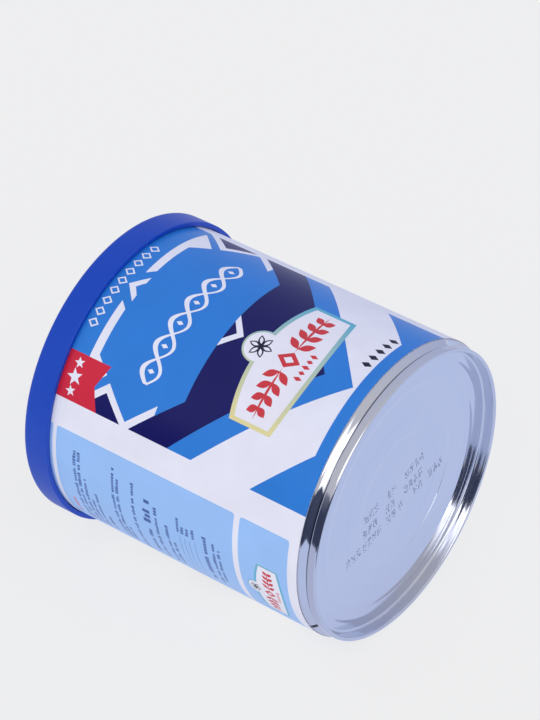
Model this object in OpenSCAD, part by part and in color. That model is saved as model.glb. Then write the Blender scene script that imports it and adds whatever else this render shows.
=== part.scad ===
// Condensed milk can lying on its side: a solid-filled tinplate body, a base end seamed
// onto its necked-in foot, a wrap-round paper label and a press-on plastic overcap.
// Lengths are in millimetres and angles in degrees. Each piece is drawn standing on the
// base rim, with the can's axis on +Z, and is then laid down with the base towards +X,
// so that the cap's skirt and the label's end rest on the ground.

/* [Can] */
// Height of the tin from its base rim to the top of its top seam
can_h = 109; // [90:0.5:150]
// Outer radius of the straight tinplate wall
body_r = 49.3; // [36:0.1:60]
// Thickness of the tinplate where one sheet is drawn
sheet_t = 0.35; // [0.2:0.05:0.5]

/* [Seams] */
// Height of a double seam, along the can's axis
seam_h = 3.1; // [2.6:0.1:3.4]
// Thickness of a double seam, across its wall
seam_t = 1.4; // [1.2:0.1:1.8]
// Distance that the top seam stands out from the wall
top_seam_out = 0.9; // [0.5:0.1:2]
// Distance that the outside of the base seam lies inside the wall
base_seam_in = 0.8; // [0.4:0.1:2]

/* [Base end] */
// Depth of the base panel below its rim
panel_depth = 3.8; // [3.2:0.1:6]
// Thickness of the base panel
panel_t = 0.6; // [0.4:0.1:1.5]
// Radius of the corner between the panel and the wall round it
panel_corner_r = 0.9; // [0.4:0.1:1.4]
// Length of the necked-in foot that shows between the base seam and the straight wall
neck_h = 2.6; // [2:0.1:6]
// Distance that the foot lies inside the outside of the base seam
neck_in = 0.7; // [0.5:0.05:0.95]
// Middle radius of the inner raised bead of the panel
inner_bead_r = 23.5; // [14:0.5:27]
// Width of the inner bead across its raised line
inner_bead_w = 9; // [4:0.5:12]
// Middle radius of the outer raised bead of the panel
outer_bead_r = 38; // [31:0.5:42]
// Width of the outer bead across its raised line
outer_bead_w = 5; // [3:0.5:8]
// Height of a bead
bead_h = 0.3; // [0.1:0.05:0.6]

/* [Label] */
// Thickness of the label on the wall
label_t = 0.2; // [0.15:0.05:0.4]
// Bare wall between the foot and the label's edge
label_base_gap = 0.1; // [0:0.1:2]
// Length of label hidden under the cap's skirt
label_tuck = 1.5; // [0.5:0.5:3]

/* [Cap] */
// Thickness of the cap's top plate
cap_plate_t = 1; // [0.8:0.1:2]
// Thickness of the cap's skirt
cap_skirt_t = 0.95; // [0.8:0.05:1.5]
// Depth of the cap from its top to the edge of its skirt
cap_depth = 9.5; // [8:0.1:16]
// Running clearance between the top seam and the skirt
cap_clear = 0.15; // [0.05:0.05:0.3]
// Radius of the cap's rounded shoulder
cap_shoulder_r = 1.8; // [0.5:0.1:3]
// Width of the raised rim round the cap's top
cap_rim_w = 5.4; // [4:0.1:8]
// Depth of the cap's recessed top inside its rim
cap_recess = 1.2; // [0.6:0.1:2]
// Distance that the catch bead stands in from the skirt's inside
catch_in = 0.45; // [0.2:0.05:0.6]
// Height of the catch bead
catch_h = 1.2; // [0.8:0.1:1.6]

/* [Resting] */
// Depth of the flat spots that the can rests on
contact_cut = 0.1; // [0.05:0.01:0.15]

/* [Hidden] */
$fn = 180;

// Steps along each rounded corner
arc_steps = 8;
// Steps across each raised bead
bead_steps = 12;
// Larger than the whole can, for the block below the ground
reach = 4 * (can_h + body_r);

// Radii, from the straight wall outwards and inwards
label_r = body_r + label_t;
top_seam_r = body_r + top_seam_out;
skirt_in_r = top_seam_r + cap_clear;
cap_r = skirt_in_r + cap_skirt_t;
base_seam_r = body_r - base_seam_in;
rim_in_r = base_seam_r - seam_t;
neck_r = base_seam_r - neck_in;
end_wall_r = rim_in_r + sheet_t;

// Heights above the base rim
panel_top = panel_depth + panel_t;
wall_start = seam_h + neck_h;
label_start = wall_start + label_base_gap;
cap_h = can_h + cap_plate_t;
skirt_edge = cap_h - cap_depth;
label_end = skirt_edge + label_tuck;
seam_under = can_h - seam_h;
catch_top = seam_under - cap_clear;

// The recess in the cap, and the ring of tin that fills the cap's raised rim
recess_r = cap_r - cap_rim_w;
ring_in_r = recess_r + cap_plate_t;
recess_under = can_h - cap_recess;
fillet_r = cap_plate_t / 2;

// How the can lies: it leans by the angle between the cap's skirt and the label's end
lean = atan((cap_r - label_r) / (skirt_edge - label_start));
shoulder_c = cap_r - cap_shoulder_r;
rim_round = seam_t / 2;
rim_c = base_seam_r - rim_round;
middle_h = (cap_h - cap_shoulder_r + rim_round) / 2
    + ((shoulder_c - rim_c) * sin(lean) + cap_shoulder_r - rim_round) / (2 * cos(lean));
axis_z = cap_r * cos(lean) - contact_cut - (skirt_edge - middle_h) * sin(lean);

// Points of an arc about [r, z] from angle a0 to angle a1
function arc(r, z, radius, a0, a1) =
    [for (i = [0 : arc_steps])
        let (a = a0 + (a1 - a0) * i / arc_steps)
        [r + radius * cos(a), z + radius * sin(a)]];

// Points across one raised bead of the panel, from its inner to its outer side
function bead(mid_r, w) =
    [for (i = [0 : bead_steps])
        let (t = i / bead_steps)
        [mid_r + w * (t - 0.5), panel_depth - bead_h * (1 - cos(360 * t)) / 2]];

// The foot eases out from its neck to the straight wall as half a cosine wave
function foot() =
    [for (i = [0 : bead_steps])
        let (t = i / bead_steps)
        [neck_r + (body_r - neck_r) * (1 - cos(180 * t)) / 2, seam_h + neck_h * t]];

// Turns a standing piece onto its side, with its base towards +X
module laid() {
    translate([0, 0, axis_z])
        rotate([0, lean - 90, 0])
            translate([0, 0, -middle_h])
                children();
}

// Takes away what would reach below the ground, which leaves a small flat spot
module grounded() {
    difference() {
        laid() children();
        translate([-reach / 2, -reach / 2, -reach])
            cube(reach);
    }
}

// Tinplate body with its contents, its foot and its top seam, as one filled solid
module can_body() {
    color("silver")
        laid()
            rotate_extrude()
                polygon(concat(
                    [[0, panel_top], [end_wall_r, panel_top], [end_wall_r, seam_h]],
                    foot(),
                    [[body_r, seam_under - top_seam_out], [top_seam_r, seam_under]],
                    [[top_seam_r, can_h], [ring_in_r, can_h]],
                    [[ring_in_r, recess_under], [0, recess_under]]));
}

// Base end: a recessed panel with two raised beads, and the double seam round it
module bottom_end() {
    color("lightsteelblue")
        laid()
            rotate_extrude()
                polygon(concat(
                    [[0, panel_depth]],
                    bead(inner_bead_r, inner_bead_w),
                    bead(outer_bead_r, outer_bead_w),
                    arc(rim_in_r - panel_corner_r, panel_depth - panel_corner_r, panel_corner_r, 90, 0),
                    arc(rim_c, rim_round, rim_round, 180, 360),
                    arc(rim_c, seam_h - rim_round, rim_round, 0, 90),
                    [[end_wall_r, seam_h], [end_wall_r, panel_top], [0, panel_top]]));
}

// Paper label wrapped once round the straight wall
module label() {
    color("royalblue")
        grounded()
            rotate_extrude()
                translate([body_r, label_start])
                    square([label_t, label_end - label_start]);
}

// Overcap: a recessed top inside a raised rim, and a skirt whose catch bead grips below the seam
module lid() {
    color("mediumblue")
        grounded()
            rotate_extrude()
                polygon(concat(
                    [[0, recess_under]],
                    [[ring_in_r, recess_under], [ring_in_r, can_h], [skirt_in_r, can_h]],
                    [[skirt_in_r, catch_top], [skirt_in_r - catch_in, catch_top - catch_h / 2]],
                    [[skirt_in_r, catch_top - catch_h], [skirt_in_r, skirt_edge]],
                    [[cap_r, skirt_edge]],
                    arc(shoulder_c, cap_h - cap_shoulder_r, cap_shoulder_r, 0, 90),
                    arc(recess_r + fillet_r, cap_h - fillet_r, fillet_r, 90, 180),
                    [[recess_r, cap_h - cap_recess], [0, cap_h - cap_recess]]));
}

can_body();
bottom_end();
label();
lid();
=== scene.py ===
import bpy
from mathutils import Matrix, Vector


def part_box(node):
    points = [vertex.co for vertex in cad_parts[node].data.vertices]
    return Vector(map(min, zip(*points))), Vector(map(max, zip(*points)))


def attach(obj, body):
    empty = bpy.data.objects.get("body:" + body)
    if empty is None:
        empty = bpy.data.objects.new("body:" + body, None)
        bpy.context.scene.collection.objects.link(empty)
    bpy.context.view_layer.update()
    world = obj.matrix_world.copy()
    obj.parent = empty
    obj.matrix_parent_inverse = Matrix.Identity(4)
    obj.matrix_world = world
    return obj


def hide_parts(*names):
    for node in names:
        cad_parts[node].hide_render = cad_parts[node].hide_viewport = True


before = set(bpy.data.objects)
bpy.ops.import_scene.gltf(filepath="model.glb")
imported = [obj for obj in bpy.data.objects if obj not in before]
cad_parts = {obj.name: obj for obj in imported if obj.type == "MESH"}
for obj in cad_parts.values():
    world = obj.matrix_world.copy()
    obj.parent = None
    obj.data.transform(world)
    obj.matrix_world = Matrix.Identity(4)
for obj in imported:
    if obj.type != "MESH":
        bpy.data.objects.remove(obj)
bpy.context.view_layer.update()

import bpy
import numpy as np
from mathutils import Matrix, Vector
from mathutils.geometry import delaunay_2d_cdt

mm = 0.001  # sizes below are in millimetres, and the meshes are in metres
luck = np.random.default_rng(7)
print("frame loaded:", ", ".join(sorted(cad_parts)))

# the can's own sizes: heights run along its axis from the base rim
can = {
    "height": 109.0, "wallRadius": 49.3, "wallStart": 5.7, "sheet": 0.35,
    "seamHeight": 3.1, "seamThickness": 1.4, "seamRadius": 48.5, "neckRadius": 47.8,
    "topSeamRadius": 50.2, "skirtInside": 50.35, "capRadius": 51.3, "capHeight": 110.0,
    "capShoulder": 1.8, "skirtEdge": 100.5, "labelRadius": 49.5, "labelStart": 5.8,
    "labelEnd": 102.0, "panelDepth": 3.8, "panelBack": 4.4,
}
lean = np.arctan((can["capRadius"] - can["labelRadius"]) / (can["skirtEdge"] - can["labelStart"]))
rimRound = can["seamThickness"] / 2
rimMiddle = can["seamRadius"] - rimRound
axisWay = np.array([-np.cos(lean), 0, np.sin(lean)])
upWay = np.array([np.sin(lean), 0, np.cos(lean)])
nearWay = np.array([0, -1.0, 0])

# the middle of the base rim, worked out from where the base end lies
endLow, endHigh = (np.array(corner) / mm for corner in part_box("bottom_end"))
baseMiddle = np.array([
    endHigh[0] - rimRound + rimRound * np.cos(lean) - rimMiddle * np.sin(lean),
    (endLow[1] + endHigh[1]) / 2,
    (endLow[2] + endHigh[2]) / 2 - can["seamHeight"] / 2 * np.sin(lean)])


# a point of the can: up the axis by height, then out by radius, turned by angle from the top
# towards the near side
def place(height, radius, angle):
    height, radius, angle = (np.asarray(value, float)[..., None] for value in (height, radius, angle))
    return baseMiddle + height * axisWay + radius * (np.cos(angle) * upWay + np.sin(angle) * nearWay)


# an sRGB hex colour as linear red, green and blue, with an alpha of one
def linear(hexColour):
    value = np.array([int(hexColour[i:i + 2], 16) for i in (1, 3, 5)]) / 255
    value = np.where(value <= 0.04045, value / 12.92, ((value + 0.055) / 1.055) ** 2.4)
    return (*value.tolist(), 1.0)


# adds a node: settings are its properties, inputs are values or other nodes' outputs
def addNode(tree, kind, settings=None, inputs=None):
    node = tree.nodes.new("ShaderNode" + kind)
    for key, value in (settings or {}).items():
        setattr(node, key, value)
    for key, value in (inputs or {}).items():
        if isinstance(value, bpy.types.NodeSocket):
            tree.links.new(value, node.inputs[key])
        else:
            node.inputs[key].default_value = value
    return node


# a material of one surface, whose constants are set on its own sockets
def newMaterial(name, constants):
    material = bpy.data.materials.new(name)
    material.use_nodes = True
    tree = material.node_tree
    tree.nodes.clear()
    surface = addNode(tree, "BsdfPrincipled", inputs=constants)
    addNode(tree, "OutputMaterial", inputs={"Surface": surface.outputs[0]})
    return material, tree, surface


# object coordinates turned so that Z runs along the can's axis from the base rim
def canCoordinates(tree):
    turn = Matrix.Rotation(np.pi / 2 - lean, 3, "Y")
    start = turn @ Vector(baseMiddle * mm)
    where = addNode(tree, "TexCoord")
    return addNode(tree, "Mapping", inputs={
        "Vector": where.outputs["Object"], "Rotation": (0, np.pi / 2 - lean, 0), "Location": -start})


# puts points and faces into a mesh. What would reach below the ground is pressed flat on it, and a
# closed shell whose volume comes out negative is turned round
def newPiece(name, points, faces, materials, slots=None):
    points = np.maximum(points, [-np.inf, -np.inf, 0]) * mm
    mesh = bpy.data.meshes.new(name)
    mesh.from_pydata(points.tolist(), [], [face for block in faces for face in block.tolist()])
    for material in materials:
        mesh.materials.append(material)
    if slots is not None:
        mesh.polygons.foreach_set("material_index", np.asarray(slots, np.int32))
    mesh.shade_smooth()
    triangles = np.concatenate([
        block[:, [0, i, i + 1]] for block in faces for i in range(1, block.shape[1] - 1)])
    a, b, c = (points[triangles[:, i]] for i in range(3))
    if (a * np.cross(b, c)).sum() < 0:
        mesh.flip_normals()
    mesh.update()
    piece = bpy.data.objects.new(name, mesh)
    bpy.context.scene.collection.objects.link(piece)
    return piece


# rounds a profile: each corner (radius, height, reach) becomes a parabola that leaves its two
# sides at that reach from the corner
def roundedProfile(corners, steps=5):
    corners = np.array(corners, float)
    spot, reach = corners[:, :2], corners[:, 2:]
    before, after = np.roll(spot, 1, 0) - spot, np.roll(spot, -1, 0) - spot
    before[0], after[-1] = after[0], before[-1]
    before = before / np.linalg.norm(before, axis=1, keepdims=True)
    after = after / np.linalg.norm(after, axis=1, keepdims=True)
    t = np.linspace(0, 1, steps)[None, :, None]
    start, end = (spot + before * reach)[:, None], (spot + after * reach)[:, None]
    curve = (start * (1 - t) ** 2 + 2 * spot[:, None] * t * (1 - t) + end * t ** 2).reshape(-1, 2)
    curve[0], curve[-1] = spot[0], spot[-1]
    keep = np.r_[True, np.linalg.norm(np.diff(curve, axis=0), axis=1) > 1e-6]
    return curve[keep]


# carries a profile round the axis: a grid of profile point by angle, closed round the turn, with
# its first and last points, which lie on the axis, as single poles; shift adds to the radius
def revolve(name, profile, materials, slotOf=None, turns=360, shift=None):
    angle = np.arange(turns) * 2 * np.pi / turns
    radius, height = (profile[1:-1, i][:, None] + 0 * angle for i in (0, 1))
    if shift is not None:
        radius = radius + shift(height, angle)
    points = place(height, radius, angle + 0 * radius).reshape(-1, 3)
    poles = place(profile[[0, -1], 1], np.zeros(2), np.zeros(2))
    rows, step = len(profile) - 2, np.arange(turns)
    ahead, base = (step + 1) % turns, np.arange(rows - 1)[:, None] * turns
    quads = np.stack([base + step, base + ahead, base + turns + ahead, base + turns + step], -1)
    quads = quads.reshape(-1, 4)
    first, last = rows * turns, (rows - 1) * turns
    fans = np.concatenate([np.stack([ahead, step, 0 * step + first], -1),
                           np.stack([last + step, last + ahead, 0 * step + first + 1], -1)])
    slots = None
    if slotOf is not None:
        middle = (profile[:-1] + profile[1:]) / 2
        row = slotOf(middle[:, 0], middle[:, 1]).astype(int)
        slots = np.concatenate([np.repeat(row[1:-1], turns), np.repeat(row[[0, -1]], turns)])
    return newPiece(name, np.concatenate([points, poles]), [quads, fans], materials, slots)


# tinplate: mild steel rolled thin and flow-brightened with tin, so it mirrors the room with a
# slight blur, and its forming tools leave fine lines that run round the can
def brightTinplate(name, colour, tarnish, roughness, lineDepth, weld=None):
    material, tree, surface = newMaterial(name, {"Metallic": 1.0})
    here = canCoordinates(tree)
    split = addNode(tree, "SeparateXYZ", inputs={0: here.outputs[0]})
    flat = addNode(tree, "CombineXYZ", inputs={0: split.outputs[0], 1: split.outputs[1]})
    out = addNode(tree, "VectorMath", {"operation": "LENGTH"}, {0: flat.outputs[0]})
    lines = addNode(tree, "CombineXYZ", inputs={0: out.outputs["Value"], 1: split.outputs[2]})
    # tool lines about 0.25 mm apart, coarser than real ones so that they show
    fine = addNode(tree, "TexNoise", inputs={"Vector": lines.outputs[0], "Scale": 4000.0, "Detail": 2.0})
    # tarnish in clouds about 17 mm across
    cloud = addNode(tree, "TexNoise", inputs={"Vector": here.outputs[0], "Scale": 60.0, "Detail": 3.0})
    blend = addNode(tree, "MixRGB", {}, {
        "Fac": cloud.outputs["Fac"], "Color1": linear(colour), "Color2": linear(tarnish)})
    rough = addNode(tree, "MapRange", inputs={
        "Value": cloud.outputs["Fac"], "From Min": 0.3, "From Max": 0.7,
        "To Min": roughness[0], "To Max": roughness[1]})
    bump = addNode(tree, "Bump", inputs={
        "Strength": lineDepth, "Distance": 0.00002, "Height": fine.outputs["Fac"]})
    if weld:  # painted shade: a dark band on the foot in the crevice under the seam; and a scorched stripe on the weld
        low, high = (can["seamHeight"] + reach for reach in weld["paintedShadeReach"])
        # the crevice band is painted shade: full just above the seam, fading out from low to high
        crevice = addNode(tree, "MapRange", inputs={
            "Value": split.outputs[2], "From Min": high * mm, "From Max": low * mm})
        blend = addNode(tree, "MixRGB", {}, {
            "Fac": crevice.outputs[0], "Color1": blend.outputs[0], "Color2": linear(weld["paintedShade"])})
        near = addNode(tree, "Math", {"operation": "MULTIPLY"}, {0: split.outputs[1], 1: -1.0})
        angle = addNode(tree, "Math", {"operation": "ARCTAN2"}, {0: near.outputs[0], 1: split.outputs[0]})
        off = addNode(tree, "Math", {"operation": "SUBTRACT"}, {
            0: angle.outputs[0], 1: np.radians(weld["weldAngle"])})
        away = addNode(tree, "Math", {"operation": "ABSOLUTE"}, {0: off.outputs[0]})
        reach = weld["weldWidth"] / can["wallRadius"]
        stripe = addNode(tree, "MapRange", inputs={
            "Value": away.outputs[0], "From Min": reach, "From Max": 0.8 * reach})
        blend = addNode(tree, "MixRGB", {}, {
            "Fac": stripe.outputs[0], "Color1": blend.outputs[0], "Color2": linear(weld["weldColour"])})
    tree.links.new(blend.outputs[0], surface.inputs["Base Color"])
    tree.links.new(rough.outputs[0], surface.inputs["Roughness"])
    tree.links.new(bump.outputs[0], surface.inputs["Normal"])
    return material


# the tin: foot, wall and top seam of one welded tinplate tube
tin = {
    "colour": "#DADCE4", "tarnish": "#D2D4DE", "roughness": (0.05, 0.10),
    "weldAngle": 122.5, "weldWidth": 1.1, "weldRise": 0.12, "weldColour": "#15151F",
    # the first colour and reach on this line paint a shade band on the foot just under the seam
    "paintedShade": "#33363F", "paintedShadeReach": (0.25, 0.5), "creviceDepth": 0.35, "creviceReach": 0.2,
    "topFlare": 0.9, "ringInside": 46.9, "plateUnder": 107.8,
}


def makeTin():
    c = can
    # the foot: half a cosine wave from the neck out to the wall, less a crevice under the seam
    # that fades as an exponential with height
    up = np.linspace(0, 1, 33)
    height = c["seamHeight"] + (c["wallStart"] - c["seamHeight"]) * up
    radius = c["neckRadius"] + (c["wallRadius"] - c["neckRadius"]) * (1 - np.cos(np.pi * up)) / 2
    radius -= tin["creviceDepth"] * np.exp(-(height - c["seamHeight"]) / tin["creviceReach"])
    foot = np.stack([radius, height], -1)
    inside = c["seamRadius"] - c["seamThickness"] + c["sheet"]
    seamUnder = c["height"] - c["seamHeight"]
    ringInside, plateUnder = tin["ringInside"], tin["plateUnder"]  # these seat the cap's top
    start = roundedProfile([
        (0, c["panelBack"], 0), (inside, c["panelBack"], 0), (inside, c["seamHeight"], 0)])
    top = roundedProfile([
        (c["wallRadius"], seamUnder - tin["topFlare"], 0), (c["topSeamRadius"], seamUnder, 0.3),
        (c["topSeamRadius"], c["height"], 0.4), (ringInside, c["height"], 0.3),
        (ringInside, plateUnder, 0.2), (0, plateUnder, 0)])
    profile = np.concatenate([start, foot, top])
    bright = brightTinplate("brightTinplate", tin["colour"], tin["tarnish"], tin["roughness"], 0.3, tin)
    weldAngle = np.radians(tin["weldAngle"])

    # the side weld: one strip a little proud of the tube, shaped like a bell curve
    def weld(height, angle):
        off = (angle - weldAngle) * c["wallRadius"] / tin["weldWidth"]
        wall = (height > c["seamHeight"]) & (height < seamUnder)
        return tin["weldRise"] * np.exp(-off ** 2) * wall

    piece = revolve("tinBody", profile, [bright], shift=weld, turns=720)
    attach(piece, "root")
    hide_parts("can_body")


makeTin()
print("tin body made")

# the base end: a panel with two raised beads and a shallow groove, inside a rolled double seam.
# Clear lacquer on the panel's tin blurs its mirror a little more than the bare seam's
baseEnd = {
    "lacquer": "#DADCE6", "lacquerWorn": "#D4D8E4", "lacquerRoughness": (0.09, 0.14),
    "seam": "#D8DAE2", "seamWorn": "#CFD1DB", "seamRoughness": (0.07, 0.12),
    "beads": ((23.5, 9.0, 2.2, 0.2), (38.0, 5.0, 2.5, 0.2)), "cornerRadius": 0.9,
    "grooveStart": 42.6, "grooveSlope": 1.6, "grooveDepth": 0.3,
}


# how far a bead stands out: half a cosine wave up its edge, flat, and half a wave down
def beadRise(radius, middle, width, edge, rise):
    inward = np.clip((width / 2 - np.abs(radius - middle)) / edge, 0, 1)
    return rise * (1 - np.cos(np.pi * inward)) / 2


def beadProfile(middle, width, edge, rise, steps=49):
    radius = middle + width * np.linspace(-0.5, 0.5, steps)
    return np.stack([radius, can["panelDepth"] - beadRise(radius, middle, width, edge, rise)], -1)


def makeBaseEnd():
    c, corner = can, baseEnd["cornerRadius"]
    inner = c["seamRadius"] - c["seamThickness"]
    turn = np.linspace(0, 1, 17)[:, None]
    cornerArc, rimArc, backArc = np.pi / 2 * (1 - turn), np.pi * (1 + turn), np.pi / 2 * turn
    # the groove round the panel: half a cosine wave down to its floor
    deep, share = baseEnd["grooveDepth"], np.linspace(0, 1, 17)
    groove = np.stack([
        baseEnd["grooveStart"] + baseEnd["grooveSlope"] * share,
        c["panelDepth"] + deep * (1 - np.cos(np.pi * share)) / 2], -1)
    arc = lambda r, h, size, a: np.concatenate([r + size * np.cos(a), h + size * np.sin(a)], 1)
    wall = inner + c["sheet"]
    profile = np.concatenate([
        [[0, c["panelDepth"]]], *(beadProfile(*bead) for bead in baseEnd["beads"]),
        groove, arc(inner - corner, c["panelDepth"] + deep - corner, corner, cornerArc),
        arc(rimMiddle, rimRound, rimRound, rimArc),
        arc(rimMiddle, c["seamHeight"] - rimRound, rimRound, backArc),
        [[wall, c["seamHeight"]], [wall, c["panelBack"]], [0, c["panelBack"]]]])
    lacquer = brightTinplate("clearLacquerOnTin", baseEnd["lacquer"], baseEnd["lacquerWorn"],
                             baseEnd["lacquerRoughness"], 0.1)
    seam = brightTinplate("rolledSeamTin", baseEnd["seam"], baseEnd["seamWorn"],
                          baseEnd["seamRoughness"], 0.4)
    # the lacquer covers the panel's front, up to a little short of the seam's wall
    piece = revolve("baseEnd", profile, [seam, lacquer],
                    slotOf=lambda r, h: (r < inner - c["sheet"]) & (h < c["panelBack"] - 0.1))
    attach(piece, "root")
    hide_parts("bottom_end")


makeBaseEnd()
print("base end made")

# the press-on cap: moulded low-density polyethylene
cap = {
    "colour": "#0447C2", "shade": "#0342B8", "roughness": (0.34, 0.42),
    "plate": 1.0, "rimWidth": 5.4, "recess": 1.2, "ringRadius": 36.0, "ringRise": 0.35,
    "ringTop": 0.6, "ringFoot": 1.2, "gateRadius": 2.2, "gateRise": 0.3, "clearance": 0.15,
    "catchIn": 0.45, "catchTall": 1.2, "lipIn": 0.6, "lipTall": 0.5, "lipSlope": 0.9,
}


# moulded polyethylene: satin, a little waxy, with the faint grain of a spark-eroded mould
def mouldedPolyethylene():
    material, tree, surface = newMaterial("mouldedPolyethylene", {
        "IOR": 1.51, "Specular IOR Level": 0.3, "Subsurface Weight": 0.06, "Subsurface Scale": 0.002})
    here = canCoordinates(tree)
    # colour flows in clouds about 22 mm across
    cloud = addNode(tree, "TexNoise", inputs={"Vector": here.outputs[0], "Scale": 45.0, "Detail": 3.0})
    # grain about 0.5 mm across
    grain = addNode(tree, "TexNoise", inputs={"Vector": here.outputs[0], "Scale": 2000.0, "Detail": 2.0})
    blend = addNode(tree, "MixRGB", inputs={
        "Fac": cloud.outputs["Fac"], "Color1": linear(cap["colour"]), "Color2": linear(cap["shade"])})
    rough = addNode(tree, "MapRange", inputs={
        "Value": cloud.outputs["Fac"], "To Min": cap["roughness"][0], "To Max": cap["roughness"][1]})
    bump = addNode(tree, "Bump", inputs={
        "Strength": 0.15, "Distance": 0.00003, "Height": grain.outputs["Fac"]})
    tree.links.new(blend.outputs[0], surface.inputs["Base Color"])
    tree.links.new(rough.outputs[0], surface.inputs["Roughness"])
    tree.links.new(bump.outputs[0], surface.inputs["Normal"])
    return material


def makeCap():
    c = can
    recessRadius = c["capRadius"] - cap["rimWidth"]
    plateUnder, plateTop = c["height"] - cap["recess"], c["capHeight"] - cap["recess"]
    catchTop, tall = c["height"] - c["seamHeight"] - cap["clearance"], cap["catchTall"]
    inside, ringInside = c["skirtInside"], recessRadius + cap["plate"]
    ring, top, foot = cap["ringRadius"], cap["ringTop"], cap["ringFoot"]
    ringHeight, gateHeight = plateTop + cap["ringRise"], plateTop + cap["gateRise"]
    gate, gateFoot = cap["gateRadius"], cap["gateRadius"] + cap["gateRise"]
    lip, lipTop = inside - cap["lipIn"], c["skirtEdge"] + cap["lipTall"]
    profile = roundedProfile([
        (0, plateUnder, 0), (ringInside, plateUnder, 0.1), (ringInside, c["height"], 0.1),
        (inside, c["height"], 0.1), (inside, catchTop, 0.1),
        (inside - cap["catchIn"], catchTop - tall / 2, 0.2), (inside, catchTop - tall, 0.1),
        (inside, lipTop + cap["lipSlope"], 0.3), (lip, lipTop, 0.2),
        (lip, c["skirtEdge"], 0.15), (c["capRadius"], c["skirtEdge"], 0.25),
        (c["capRadius"], c["capHeight"], c["capShoulder"]), (recessRadius, c["capHeight"], 0.6),
        (recessRadius, plateTop, 0.3), (ring + foot, plateTop, 0.3), (ring + top, ringHeight, 0.25),
        (ring - top, ringHeight, 0.25), (ring - foot, plateTop, 0.3), (gateFoot, plateTop, 0.2),
        (gate, gateHeight, 0.2), (0, gateHeight, 0)], steps=9)
    piece = revolve("cap", profile, [mouldedPolyethylene()])
    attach(piece, "root")
    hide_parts("lid")


makeCap()
print("cap made")

# the label, laid out flat: u runs round the can and v up it, both in millimetres, and u = 0 lies
# at facingAngle from the top
label = {
    "thickness": 0.2, "facingAngle": 46.9, "start": -181.0, "lap": 7.0,
    "frontMiddle": 24.0, "frontHalf": 41.4, "panelLeft": -80.6, "panelRight": -27.0,
    "lapSlope": 3.5, "lapClear": 0.5, "lapGap": 0.01, "columns": 180, "rows": 14, "blendReach": 48.0,
    "inks": {
        "paperWhite": "#EDEEFB", "skyBlue": "#2A7FDA", "navy": "#08085E", "panelBlue": "#9CC6FC",
        "tagRed": "#D4223E", "printBlue": "#3E5FA8", "plaqueWhite": "#EFEEFA", "ornamentRed": "#D23A44",
        "lineGold": "#E6DDA0", "lineAqua": "#58B2D4", "inkBlack": "#1B1C38",
    },
}
circumference = 2 * np.pi * can["labelRadius"]
half = label["frontHalf"]
fields = []


# lays a field of one ink over what is already there, with its outline run anticlockwise
def addField(ink, outline):
    outline = np.array(outline, float)
    x, y = outline.T
    area = (x * np.roll(y, -1) - y * np.roll(x, -1)).sum()
    fields.append((ink, outline if area > 0 else outline[::-1]))


# an outline moved by (du, dv) after scaling; mirror turns it over about u = 0 first
def shifted(outline, du, dv=0.0, scale=1.0, mirror=False):
    flip = np.array([-1.0 if mirror else 1.0, 1.0])
    return np.array(outline, float) * flip * scale + (du, dv)


# both = the field and its mirror image about the middle of the front
def addBoth(ink, outline, du):
    addField(ink, shifted(outline, du))
    addField(ink, shifted(outline, du, mirror=True))


# a box whose four corners are quarter circles
def roundedBox(left, low, right, high, radius, steps=6):
    turn = np.linspace(0, np.pi / 2, steps)
    corners = [(right - radius, high - radius, 0), (left + radius, high - radius, 1),
               (left + radius, low + radius, 2), (right - radius, low + radius, 3)]
    return np.concatenate([np.stack([
        x + radius * np.cos(turn + k * np.pi / 2), y + radius * np.sin(turn + k * np.pi / 2)], -1)
        for x, y, k in corners])


# an even polygon of many sides, which stands for a circle
def disc(u, v, radius, sides=40):
    turn = np.arange(sides) * 2 * np.pi / sides
    return np.stack([u + radius * np.cos(turn), v + radius * np.sin(turn)], -1)


# four corners on the two middle lines
def lozenge(u, v, width, tall):
    return np.array([[u - width / 2, v], [u, v - tall / 2], [u + width / 2, v], [u, v + tall / 2]])


# a star of five points: the radius steps between two values as the angle goes round
def star(u, v, radius):
    turn = np.arange(10) * np.pi / 5 + np.pi / 2
    reach = np.where(np.arange(10) % 2, 0.42, 1.0) * radius
    return np.stack([u + reach * np.cos(turn), v + reach * np.sin(turn)], -1)


# a leaf: its half width is a sine bow along its length, turned by angle about its stalk
def leaf(u, v, length, width, angle, steps=10):
    t = np.linspace(0, 1, steps)
    bow = np.sin(np.pi * t) * width / 2
    x = np.r_[t, t[-2:0:-1]] * length
    y = np.r_[bow, -bow[-2:0:-1]]
    return np.stack([
        u + x * np.cos(angle) - y * np.sin(angle), v + x * np.sin(angle) + y * np.cos(angle)], -1)


# a wave ribbon: a sine line whose thickness swells and thins along it
def waveRibbon(u0, u1, v, rise, waves, thin, thick, phase, steps=97):
    t = np.linspace(0, 1, steps)
    line = v + rise * np.sin(2 * np.pi * waves * t + phase)
    body = (thin + (thick - thin) * (0.5 + 0.5 * np.sin(2 * np.pi * waves * t + phase + 0.9))) / 2
    u = u0 + (u1 - u0) * t
    return np.concatenate([np.stack([u, line + body], -1), np.stack([u, line - body], -1)[::-1]])


# the plaque's outline: a box whose long sides bow outwards as parabolas, grown by edge all round
def plaqueOutline(edge):
    t = np.linspace(-1, 1, 25)
    x = t * (23.95 + edge)
    low = 26.1 - edge - (2.8 + 0.1 * edge) * (1 - t ** 2)
    high = 41.1 + edge + 3.4 * (1 - t ** 2)
    return np.concatenate([np.stack([x, low], -1), np.stack([x, high], -1)[::-1]])


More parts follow.
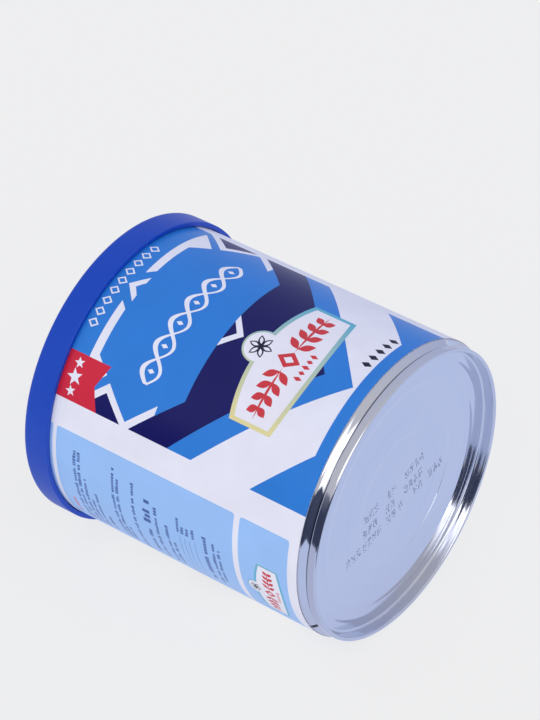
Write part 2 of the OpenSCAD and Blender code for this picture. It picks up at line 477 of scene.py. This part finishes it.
# the plaque: a rimmed shape with a flower on its disc, two sprays of leaves and some lozenges
def addPlaque(du, dv, scale):
    put = lambda ink, outline: addField(ink, shifted(outline, du, dv, scale))
    put("lineBlend", plaqueOutline(0))
    put("lineBlend", disc(0.2, 44.2, 6.1))
    put("plaqueWhite", plaqueOutline(-1.35))
    put("plaqueWhite", disc(0.2, 44.2, 5.5))
    for k in range(6):  # a plain six-petalled flower
        angle = np.pi / 2 + k * np.pi / 3
        put("inkBlack", leaf(0.2, 44.4, 4.2, 2.1, angle))
        put("plaqueWhite", leaf(0.2 + 0.9 * np.cos(angle), 44.4 + 0.9 * np.sin(angle), 2.7, 1.1, angle))
    put("inkBlack", disc(0.2, 44.4, 0.8, 16))
    for side in (1, -1):  # a spray of leaves on each side of a lozenge
        flip = 0 if side > 0 else np.pi
        put("ornamentRed", leaf(side * 3, 33.9, 18.5, 0.9, flip))
        for k, size in enumerate((5.6, 5.2, 4.6, 4.0)):
            for up in (1, -1):
                angle = flip + side * up * 0.95
                put("ornamentRed", leaf(side * (4.6 + 4.2 * k), 33.9, size, 2.5, angle))
    put("ornamentRed", lozenge(0, 33.9, 6.0, 8.4))
    put("plaqueWhite", lozenge(0, 33.9, 2.6, 3.8))
    for k in range(5):
        put("ornamentRed", lozenge(-4.4 + 2.2 * k, 27.7, 1.5, 2.4 if k % 2 else 3.2))


# one front: measured from its middle, mirrored wherever the print is
def addFront(du):
    c = can
    addField("skyBlue", shifted([(-half, 10), (half, 10), (half, c["labelEnd"]), (-half, c["labelEnd"])], du))
    addField("paperWhite", shifted([(-half, 48.5), (0, 10.9), (half, 48.5), (half, 8.0), (-half, 8.0)], du))
    addField("skyBlue", shifted([
        (-half, c["labelStart"]), (half, c["labelStart"]), (half, 26.5), (23.6, 9.9), (-23.6, 9.9),
        (-half, 26.5)], du))
    addField("navy", shifted([
        (-half, 72.6), (-26, 56.9), (26, 56.9), (half, 72.6), (half, 57.6), (0, 21.2), (-half, 57.6)], du))
    addBoth("navy", [(34, 83.4), (half, 91.3), (half, 75.9)], du)
    addBoth("paperWhite", [(30.9, 83.4), (34, 83.4), (half, 91.3), (half, 94.4)], du)
    addBoth("paperWhite", [(30.9, 83.4), (half, 72.7), (half, 75.9), (34, 83.4)], du)
    addBoth("paperWhite", [(half, 72.6), (33.8, 65), (30.8, 65), (39.6, 74.1), (half, 75.4)], du)
    addBoth("paperWhite", [(6.0, 93.4), (38, 93.9), (29, 85.4), (24.3, 90.7), (8.3, 90.7)], du)
    addField("paperWhite", shifted([
        (-5.1, 90.4), (-2.6, 90.4), (0, 92.6), (2.6, 90.4), (5.1, 90.4), (0, 95.3)], du))
    addField("paperWhite", shifted([
        (-6.4, 56.9), (-3.6, 56.9), (0, 53.8), (3.6, 56.9), (6.4, 56.9), (0, 51.2)], du))
    # a row of open lozenges, a crossed wave ribbon and a row of small lozenges, where words would stand
    for k in range(9):
        addField("paperWhite", shifted(lozenge(-16.2 + 4.05 * k, 97.9, 3.3, 4.0), du))
        addField("skyBlue", shifted(lozenge(-16.2 + 4.05 * k, 97.9, 2.0, 2.5), du))
    for phase in (0, np.pi):
        addField("paperWhite", shifted(waveRibbon(-26.5, 25.5, 71.9, 3.1, 3, 0.9, 1.9, phase), du))
    for k in range(6):
        addField("paperWhite", shifted(lozenge(-26.5 + 52 / 12 * (2 * k + 1), 71.9, 1.6, 2.6), du))
    for k in range(5):
        addField("inkBlack", shifted(lozenge(9.4 + 3.5 * k, 12.6, 2.1, 3.8), du))
    addPlaque(du - 0.7, 0.0, 1.0)
    addField("tagRed", shifted([
        (-half, c["labelEnd"]), (-half, 85.1), (-34, 88.1), (-26.2, 85.1), (-26.2, c["labelEnd"])], du))
    for k, size in ((-1, 1.9), (0, 2.9), (1, 1.9)):
        addField("paperWhite", shifted(star(-33.8 + 4.6 * k, 96.0, size), du))


# greeked print: a row of small blocks in groups, with no letter shapes
def addBlocks(v, u0, u1, tall, du, ink="printBlue"):
    u, left = u0, 0
    while u < u1:
        if left == 0:
            u, left = u + 0.75 * tall, luck.integers(2, 9)
        wide = tall * luck.uniform(0.45, 0.85)
        high = tall * luck.choice([0.75, 0.75, 1.0])
        foot, head = v - tall / 2, v - tall / 2 + high
        addField(ink, [(u + du, foot), (u + du + wide, foot), (u + du + wide, head), (u + du, head)])
        u, left = u + wide + 0.22 * tall, left - 1


# rows of the information panel: height up the can, left end, right end and height of its marks
panelRows = [
    (91.0, -68, -33.5, 1.2), (89.3, -68, -33, 1.2), (87.3, -68, -43.5, 1.2), (85.5, -68, -52, 1.2),
    (83.5, -68, -48, 1.2), (80.5, -67, -57, 1.2), (76, -67, -33.5, 1.2), (74.2, -67, -36, 1.2),
    (72.4, -67, -57, 1.2), (68.3, -70, -34.5, 1.2), (62.8, -66, -51, 1.5), (63, -50, -40, 2.8),
    (59.5, -67, -40, 1.2), (55.5, -66, -45, 1.2), (53.3, -66, -52, 1.2), (51, -46, -40, 1.2),
    (49.2, -46, -42, 1.2), (47.4, -46, -42, 1.2), (45.2, -46, -41, 1.2), (40.7, -65, -42.5, 1.6),
    (37.5, -65, -42.5, 1.2), (35.5, -62, -44.5, 1.2),
]


# the information panel: three pale boxes, rows of blocks, thin rules and a small plaque
def addInformation(du):
    left, right = label["panelLeft"] + du, label["panelRight"] + du
    addField("panelBlue", roundedBox(left, 29.7, right, 98.2, 1.0))
    addField("panelBlue", roundedBox(left, 9.3, right, 27.6, 1.0))
    addField("panelBlue", [(left, 99.7), (right, 99.7), (right, can["labelEnd"]), (left, can["labelEnd"])])
    for v, u0, u1, tall in panelRows:
        addBlocks(v, u0, u1, tall, du)
    addBlocks(94.4, -66.0, -56.5, 1.2, du, "ornamentRed")
    for v in (51, 49.2, 47.4, 45.2):  # thin rules that lead to the short rows
        rule = [(-70, v - 0.7), (-47, v - 0.7), (-47, v - 0.55), (-70, v - 0.55)]
        addField("printBlue", shifted(rule, du))
    addPlaque(-53.4 + du, -0.2, 0.51)


addFront(label["frontMiddle"])
addFront(label["frontMiddle"] - circumference / 2)
addInformation(0)
addInformation(circumference / 2)
print("label laid out:", len(fields), "fields")


# coated paper, offset printed and varnished: even inks under a clear gloss that is blurred a
# little by faint streaks running round the can, where the sheet was drawn over the tin
def printedPaper(name, colour, colourEnd=None):
    material, tree, surface = newMaterial(name, {"IOR": 1.5, "Specular IOR Level": 0.3})
    where = addNode(tree, "UVMap", {"uv_map": "unrolled"})
    # the map is in metres: streaks are about 3 mm apart and 60 mm long
    stretch = addNode(tree, "Mapping", inputs={"Vector": where.outputs[0], "Scale": (16.0, 300.0, 1.0)})
    streaks = addNode(tree, "TexNoise", inputs={"Vector": stretch.outputs[0], "Scale": 1.0, "Detail": 3.0})
    # paper fibre about 0.6 mm across, coarser than real, and ink that varies over about 14 mm
    fibre = addNode(tree, "TexNoise", inputs={"Vector": where.outputs[0], "Scale": 1600.0, "Detail": 3.0})
    mottle = addNode(tree, "TexNoise", inputs={"Vector": where.outputs[0], "Scale": 70.0, "Detail": 2.0})
    ground = linear(colour)
    if colourEnd:  # one colour turns into the other round the can, and back on the hidden side
        across = addNode(tree, "SeparateXYZ", inputs={0: where.outputs[0]})
        turn = addNode(tree, "Math", {"operation": "PINGPONG"}, {
            0: across.outputs[0], 1: circumference / 2 * mm})
        side = addNode(tree, "MapRange", inputs={
            "Value": turn.outputs[0], "From Min": 0.0, "From Max": label["blendReach"] * mm})
        ground = addNode(tree, "MixRGB", inputs={
            "Fac": side.outputs[0], "Color1": linear(colour), "Color2": linear(colourEnd)}).outputs[0]
    patchy = addNode(tree, "HueSaturation", inputs={"Color": ground})
    shade = addNode(tree, "MapRange", inputs={
        "Value": mottle.outputs["Fac"], "From Min": 0.3, "From Max": 0.7, "To Min": 0.97, "To Max": 1.03})
    tree.links.new(shade.outputs[0], patchy.inputs["Value"])
    rough = addNode(tree, "MapRange", inputs={
        "Value": streaks.outputs["Fac"], "From Min": 0.3, "From Max": 0.7, "To Min": 0.28, "To Max": 0.30})
    ridges = addNode(tree, "Bump", inputs={
        "Strength": 0.1, "Distance": 0.00004, "Height": streaks.outputs["Fac"]})
    bump = addNode(tree, "Bump", inputs={
        "Strength": 0.1, "Distance": 0.00002, "Height": fibre.outputs["Fac"], "Normal": ridges.outputs[0]})
    tree.links.new(patchy.outputs[0], surface.inputs["Base Color"])
    tree.links.new(rough.outputs[0], surface.inputs["Roughness"])
    tree.links.new(bump.outputs[0], surface.inputs["Normal"])
    return material


# cuts the flat sheet along every field's outline and along a grid, gives each triangle the ink of
# the last field laid over it, rolls it round the can, and closes it with an inner face and edges
def makeLabel():
    c = can
    left, low, high = label["start"], c["labelStart"], c["labelEnd"]
    right = left + circumference + label["lap"]
    sheet = np.array([(left, low), (right, low), (right, high), (left, high)])
    outlines = [sheet] + [np.clip(outline, (left, low), (right, high)) for ink, outline in fields]
    inkNames = list(label["inks"]) + ["lineBlend"]
    inkOf = np.array([0] + [inkNames.index(ink) for ink, outline in fields])
    columns = np.linspace(left, right, label["columns"])
    rows = np.linspace(low, high, label["rows"])
    uprights = np.stack([np.repeat(columns, 2), np.tile([low, high], len(columns))], -1)
    levels = np.stack([np.tile([left, right], len(rows)), np.repeat(rows, 2)], -1)
    sizes = np.array([len(outline) for outline in outlines])
    starts = np.r_[0, np.cumsum(sizes)]
    faces = [list(range(a, b)) for a, b in zip(starts[:-1], starts[1:])]
    spots = np.concatenate(outlines + [uprights, levels])
    edges = (starts[-1] + np.arange(len(uprights) + len(levels))).reshape(-1, 2)
    flat, _, triangles, _, _, origins = delaunay_2d_cdt(spots.tolist(), edges.tolist(), faces, 0, 1e-4)
    uv = np.array(flat)
    triangles = np.array(triangles)
    topField = np.array([max(ids) if ids else 0 for ids in origins])
    count = len(uv)
    # the end that laps over the start lifts by one thickness and a gap, as a smooth step
    rampStart = right - label["lap"] - label["lapSlope"] - label["lapClear"]
    t = np.clip((uv[:, 0] - rampStart) / label["lapSlope"], 0, 1)
    lift = (label["thickness"] + label["lapGap"]) * t * t * (3 - 2 * t)
    angle = np.radians(label["facingAngle"]) - uv[:, 0] / c["labelRadius"]
    outer = place(uv[:, 1], c["labelRadius"] + lift, angle)
    inner = place(uv[:, 1], c["labelRadius"] + lift - label["thickness"], angle)
    sides = np.concatenate([triangles[:, [0, 1]], triangles[:, [1, 2]], triangles[:, [2, 0]]])
    key = sides[:, 0] * count + sides[:, 1]
    border = sides[~np.isin(key, sides[:, 1] * count + sides[:, 0])]
    rim = np.stack([border[:, 1], border[:, 0], border[:, 0] + count, border[:, 1] + count], -1)
    slots = np.concatenate([inkOf[topField], np.zeros(len(triangles) + len(rim), int)])
    inks = label["inks"]
    materials = [printedPaper("varnishedPaper." + ink, colour) for ink, colour in inks.items()]
    materials.append(printedPaper("varnishedPaper.lineBlend", inks["lineGold"], inks["lineAqua"]))
    piece = newPiece("paperLabel", np.concatenate([outer, inner]),
                     [triangles, triangles[:, ::-1] + count, rim], materials, slots)
    mesh = piece.data
    # every point of the sheet faces straight out from the axis, or straight in on its inner side
    outward = place(np.zeros(count), np.ones(count), angle) - baseMiddle
    mesh.normals_split_custom_set_from_vertices(np.concatenate([outward, -outward]).tolist())
    unrolled = mesh.uv_layers.new(name="unrolled")
    corner = np.zeros(len(mesh.loops), np.int32)
    mesh.loops.foreach_get("vertex_index", corner)
    unrolled.data.foreach_set("uv", (np.concatenate([uv, uv])[corner] * mm).astype(np.float32).ravel())
    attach(piece, "root")
    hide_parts("label")
    print("label made:", len(mesh.polygons), "faces")


makeLabel()

# the date mark: three rows of ink-jet dots on the base panel, in cells filled at random.
# Each group is (right, up, cells), in millimetres from the panel's middle as seen from outside
dateMark = {
    "ink": "#525B7E", "inkThin": "#6A7396", "dot": 0.19, "thickness": 0.02,
    "pitch": 0.5, "cell": 2.6, "slope": 12.0, "share": 0.5,
    "groups": (
        (-26, -13.5, 3), (-17.5, -12.5, 4), (-5, -9.8, 2), (1.2, -8.4, 1), (9, -7, 2), (17, -5.4, 3),
        (-17.5, -7.2, 3), (-5.8, -5.0, 2), (3.8, -3.4, 4), (-17, -1.6, 3), (-5.4, 0.4, 2), (4, 2.6, 4)),
}


# a dot is a six-sided disc that stands on the panel, whose height follows the raised beads
def makeDateMark():
    d = dateMark
    slope = np.radians(d["slope"])
    row = np.array([np.cos(slope), np.sin(slope)])
    rise = np.array([-np.sin(slope), np.cos(slope)])
    grid = np.stack(np.meshgrid(np.arange(4), np.arange(7), indexing="ij"), -1).reshape(-1, 2) * d["pitch"]
    spots = []
    for right, up, cells in d["groups"]:
        for k in range(cells):
            kept = grid[luck.random(len(grid)) < d["share"]] + (k * d["cell"], 0)
            spots.append(np.array([right, up]) + kept[:, :1] * row + kept[:, 1:] * rise)
    spots = np.concatenate(spots)
    turn = np.arange(6) * np.pi / 3
    ring = spots[:, None] + d["dot"] * np.stack([np.cos(turn), np.sin(turn)], -1)
    radius = np.linalg.norm(spots, axis=1)
    level = np.full(len(spots), can["panelDepth"])
    for bead in baseEnd["beads"]:
        level -= beadRise(radius, *bead)
    points = []
    for lift in (-1, 1):
        height = level[:, None, None] - lift * d["thickness"]
        points.append(baseMiddle + height * axisWay + ring[..., 1:] * upWay - ring[..., :1] * nearWay)
    points = np.concatenate(points, 1).reshape(-1, 3)
    start = np.arange(len(spots))[:, None] * 12
    k, ahead = np.arange(6), (np.arange(6) + 1) % 6
    sides = (start[..., None] + np.stack([k, ahead, ahead + 6, k + 6], -1)).reshape(-1, 4)
    faces = [start + k[::-1], start + 6 + k, sides]
    # thin ink-jet ink dried on bare lacquer: satin, and a little uneven in depth
    material, tree, surface = newMaterial("inkJetDots", {"IOR": 1.5, "Specular IOR Level": 0.3})
    here = canCoordinates(tree)
    cloud = addNode(tree, "TexNoise", inputs={"Vector": here.outputs[0], "Scale": 900.0, "Detail": 1.0})
    blend = addNode(tree, "MixRGB", inputs={
        "Fac": cloud.outputs["Fac"], "Color1": linear(d["ink"]), "Color2": linear(d["inkThin"])})
    rough = addNode(tree, "MapRange", inputs={
        "Value": cloud.outputs["Fac"], "To Min": 0.35, "To Max": 0.55})
    tree.links.new(blend.outputs[0], surface.inputs["Base Color"])
    tree.links.new(rough.outputs[0], surface.inputs["Roughness"])
    piece = newPiece("dateDots", points, faces, [material])
    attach(piece, "root")


makeDateMark()
print("date mark made")


# the stage: a pale floor that glows a little, so that shadows on it stay faint
stage = {"colour": "#EEEEEE", "base": 0.13, "glow": 0.755, "size": 6.0}


def makeStage():
    reach = stage["size"] / 2
    mesh = bpy.data.meshes.new("floor")
    corners = [(-reach, -reach, 0), (reach, -reach, 0), (reach, reach, 0), (-reach, reach, 0)]
    mesh.from_pydata(corners, [], [(0, 1, 2, 3)])
    floor = bpy.data.objects.new("floor", mesh)
    bpy.context.scene.collection.objects.link(floor)
    material, tree, surface = newMaterial("paperBackdrop", {
        "Base Color": (*[stage["base"]] * 3, 1), "Roughness": 1.0, "Specular IOR Level": 0.0,
        "Emission Color": (1, 1, 1, 1), "Emission Strength": stage["glow"]})
    mesh.materials.append(material)


makeStage()

# light: a pale room drawn by elevation, with a softbox above the camera's place. A dark card, a white
# card and a pale blue sheet, which only reflections meet, stand for the front and floor of the room
studio = {
    "turn": 36.8,  # the side that the light and the card stand on, from the near side towards the base
    "nearRoom": ((0, "#D2D2DA"), (40, "#D6D6DA"), (90, "#D4D4DA")),
    "farRoom": ((0, "#BCC4E2"), (40, "#C6CDE4"), (90, "#D4D4DA")),
    "farShare": ((0, 0.0), (70, 0.0), (130, 1.0), (180, 1.0)),
    # elevation in degrees and the softbox's share of its full level
    "softbox": ((0, 0.0), (31, 0.0), (33, 1.0), (40, 0.92), (45, 0.68), (51, 0.38), (56, 0.16),
                (63, 0.0), (80, 0.0)),
    "softboxAcross": ((0, 1.0), (33, 1.0), (46, 0.0), (50, 0.0)),
    "softboxLevel": 2.6,
    # each card's edge, as (place along the card, height), and how the dark one pales with height
    "cardAway": 118.0,
    "cardEdge": ((-330, 155), (-110, 126), (0, 91), (55, 84), (112, 83),
                 (112, 3), (62, 4), (44, 12), (26, 43), (0, 41), (-110, 24), (-330, 18)),
    "cardDark": (0.042, 0.054, 0.105), "cardPale": (0.34, 0.36, 0.44), "cardFade": (82.0, 148.0),
    "whiteAway": 400.0, "whiteEdge": ((60, 380), (345, 380), (345, 0), (60, 0)),
    "whiteGlow": (1.5, 1.5, 1.55),
    # the sheet's colour under the can, and out past its base end
    "sheetUnder": (0.56, 0.60, 0.80), "sheetOut": (0.62, 0.705, 0.95), "sheetFade": (40.0, 70.0),
    "sheetHalf": 2000.0, "sheetHeight": 0.05,
}


# a colour ramp over the range low to high, with stops at (place, colour or share)
def addRamp(tree, value, low, high, stops):
    spread = addNode(tree, "MapRange", inputs={"Value": value, "From Min": low, "From Max": high})
    ramp = addNode(tree, "ValToRGB", inputs={"Fac": spread.outputs[0]})
    points = ramp.color_ramp.elements
    for at, shade in stops[1:-1]:
        points.new((at - low) / (high - low))
    for point, (at, shade) in zip(points, stops):
        point.position = (at - low) / (high - low)
        point.color = linear(shade) if isinstance(shade, str) else (shade, shade, shade, 1)
    return ramp.outputs[0]


# a flat shape that reflections meet, and that neither the camera nor the soft light does; its glow
# runs from one colour to another as a coordinate goes from low to high
def onlyMirrored(name, materialName, corners, axis, low, high, colour, colourEnd):
    material, tree, surface = newMaterial(materialName, {
        "Base Color": (0, 0, 0, 1), "Specular IOR Level": 0.0, "Emission Strength": 1.0})
    where = addNode(tree, "TexCoord")
    split = addNode(tree, "SeparateXYZ", inputs={0: where.outputs["Object"]})
    share = addNode(tree, "MapRange", inputs={
        "Value": split.outputs[axis], "From Min": low * mm, "From Max": high * mm})
    glow = addNode(tree, "MixRGB", inputs={
        "Fac": share.outputs[0], "Color1": (*colour, 1), "Color2": (*colourEnd, 1)})
    tree.links.new(glow.outputs[0], surface.inputs["Emission Color"])
    mesh = bpy.data.meshes.new(name)
    mesh.from_pydata((np.array(corners) * mm).tolist(), [], [list(range(len(corners)))])
    mesh.materials.append(material)
    card = bpy.data.objects.new(name, mesh)
    bpy.context.scene.collection.objects.link(card)
    card.visible_camera = card.visible_diffuse = card.visible_shadow = False


def makeLights():
    scene = bpy.context.scene
    world = bpy.data.worlds.new("studio")
    scene.world = world
    world.use_nodes = True
    tree = world.node_tree
    tree.nodes.clear()
    way = addNode(tree, "TexCoord")
    turned = addNode(tree, "VectorRotate", {"rotation_type": "Z_AXIS"}, {
        "Vector": way.outputs["Generated"], "Angle": -np.radians(studio["turn"])})
    split = addNode(tree, "SeparateXYZ", inputs={0: turned.outputs[0]})
    near = addNode(tree, "Math", {"operation": "MULTIPLY"}, {0: split.outputs[1], 1: -1.0})
    side = addNode(tree, "Math", {"operation": "ARCTAN2"}, {0: split.outputs[0], 1: near.outputs[0]})
    away = addNode(tree, "Math", {"operation": "ABSOLUTE"}, {0: side.outputs[0]})
    aside = addNode(tree, "Math", {"operation": "DEGREES"}, {0: away.outputs[0]}).outputs[0]
    rise = addNode(tree, "Math", {"operation": "ARCSINE"}, {0: split.outputs[2]})
    high = addNode(tree, "Math", {"operation": "DEGREES"}, {0: rise.outputs[0]}).outputs[0]
    room = addNode(tree, "MixRGB", inputs={
        "Fac": addRamp(tree, aside, 0, 180, studio["farShare"]),
        "Color1": addRamp(tree, high, 0, 90, studio["nearRoom"]),
        "Color2": addRamp(tree, high, 0, 90, studio["farRoom"])})
    tall = addRamp(tree, high, 0, 80, studio["softbox"])
    across = addRamp(tree, aside, 0, 50, studio["softboxAcross"])
    shape = addNode(tree, "Math", {"operation": "MULTIPLY"}, {0: tall, 1: across})
    glow = addNode(tree, "Math", {"operation": "MULTIPLY"}, {0: shape.outputs[0], 1: studio["softboxLevel"]})
    both = addNode(tree, "MixRGB", {"blend_type": "ADD"}, {
        "Fac": 1.0, "Color1": room.outputs[0], "Color2": glow.outputs[0]})
    # what the camera sees past the floor is plain backdrop
    path = addNode(tree, "LightPath")
    seen = addNode(tree, "MixRGB", inputs={
        "Fac": path.outputs["Is Camera Ray"], "Color1": both.outputs[0], "Color2": linear(stage["colour"])})
    sky = addNode(tree, "Background", inputs={"Color": seen.outputs[0], "Strength": 1.0})
    addNode(tree, "OutputWorld", inputs={"Surface": sky.outputs[0]})
    turn = np.radians(studio["turn"])
    right, near = np.array([np.cos(turn), np.sin(turn), 0]), np.array([np.sin(turn), -np.cos(turn), 0])
    for name, stuff, away, edge, colour, colourEnd in (
            ("darkCard", "charcoalFelt", studio["cardAway"], studio["cardEdge"],
             studio["cardDark"], studio["cardPale"]),
            ("whiteCard", "whiteFoamBoard", studio["whiteAway"], studio["whiteEdge"],
             studio["whiteGlow"], studio["whiteGlow"])):
        corners = [near * away + right * x + np.array([0, 0, z]) for x, z in edge]
        onlyMirrored(name, stuff, corners, 2, *studio["cardFade"], colour, colourEnd)
    reach, low = studio["sheetHalf"], studio["sheetHeight"]
    corners = [(-reach, -reach, low), (reach, -reach, low), (reach, reach, low), (-reach, reach, low)]
    onlyMirrored("blueSheet", "paleBlueSheet", corners, 0, *studio["sheetFade"],
                 studio["sheetUnder"], studio["sheetOut"])
    scene.view_settings.view_transform = "Standard"


makeLights()

# the camera stands off the near side and the base end, and looks down on the can
view = {"azimuth": 36.845, "elevation": 36.802, "away": 986.25, "right": 1.903, "up": 61.219, "lens": 152.87}


def makeCamera():
    a, e = np.radians(view["azimuth"]), np.radians(view["elevation"])
    right = Vector((np.cos(a), np.sin(a), 0))
    back = Vector((np.sin(a) * np.cos(e), -np.cos(a) * np.cos(e), np.sin(e)))
    up = back.cross(right)
    data = bpy.data.cameras.new("camera")
    data.lens = view["lens"]
    data.sensor_width = 36
    camera = bpy.data.objects.new("camera", data)
    spot = (right * view["right"] + up * view["up"] + back * view["away"]) * mm
    camera.matrix_world = Matrix.Translation(spot) @ Matrix((right, up, back)).transposed().to_4x4()
    bpy.context.scene.collection.objects.link(camera)
    bpy.context.scene.camera = camera


makeCamera()
print("stage, lights and camera made")
